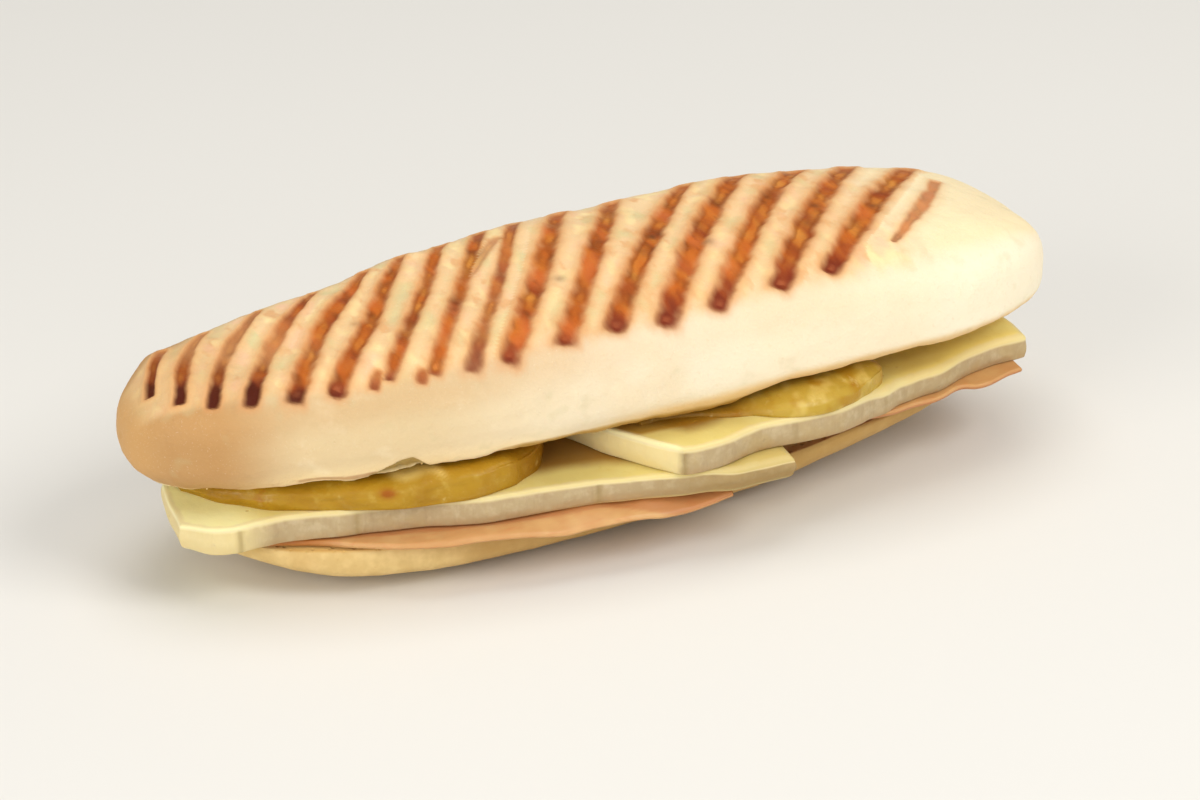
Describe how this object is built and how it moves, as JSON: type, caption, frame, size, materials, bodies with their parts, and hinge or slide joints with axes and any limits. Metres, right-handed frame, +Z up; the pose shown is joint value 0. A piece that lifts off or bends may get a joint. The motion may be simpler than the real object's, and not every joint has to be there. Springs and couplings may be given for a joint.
{
  "type": "pressed egg and cheese sandwich",
  "caption": "Long grill-marked pressed bread roll, split and filled with ham, slabs of soft white-rinded cheese and folded egg that show along its near side",
  "frame": {"origin": "centre of the bounding box in plan, at the height of the flat underside of the bottom bread", "axes": "+X along the roll towards its thicker end, +Y away from the side where the fillings stand out, +Z up"},
  "size_m": [0.252, 0.0908, 0.0686],
  "materials": {
    "top_bread": "cream baked crust with brown grill marks",
    "bottom_bread": "pale yellow baked crust, matt",
    "ham": "moist thin cooked meat",
    "cheese": "pale yellow soft cheese with a matt white rind",
    "egg": "moist folded golden egg"
  },
  "bodies": {
    "root": {"top_bread": "top_bread", "bottom_bread": "bottom_bread", "ham_left": "ham", "ham_right": "ham", "cheese_lower": "cheese", "cheese_upper": "cheese", "egg_left": "egg", "egg_right": "egg"}
  },
  "joints": []
}
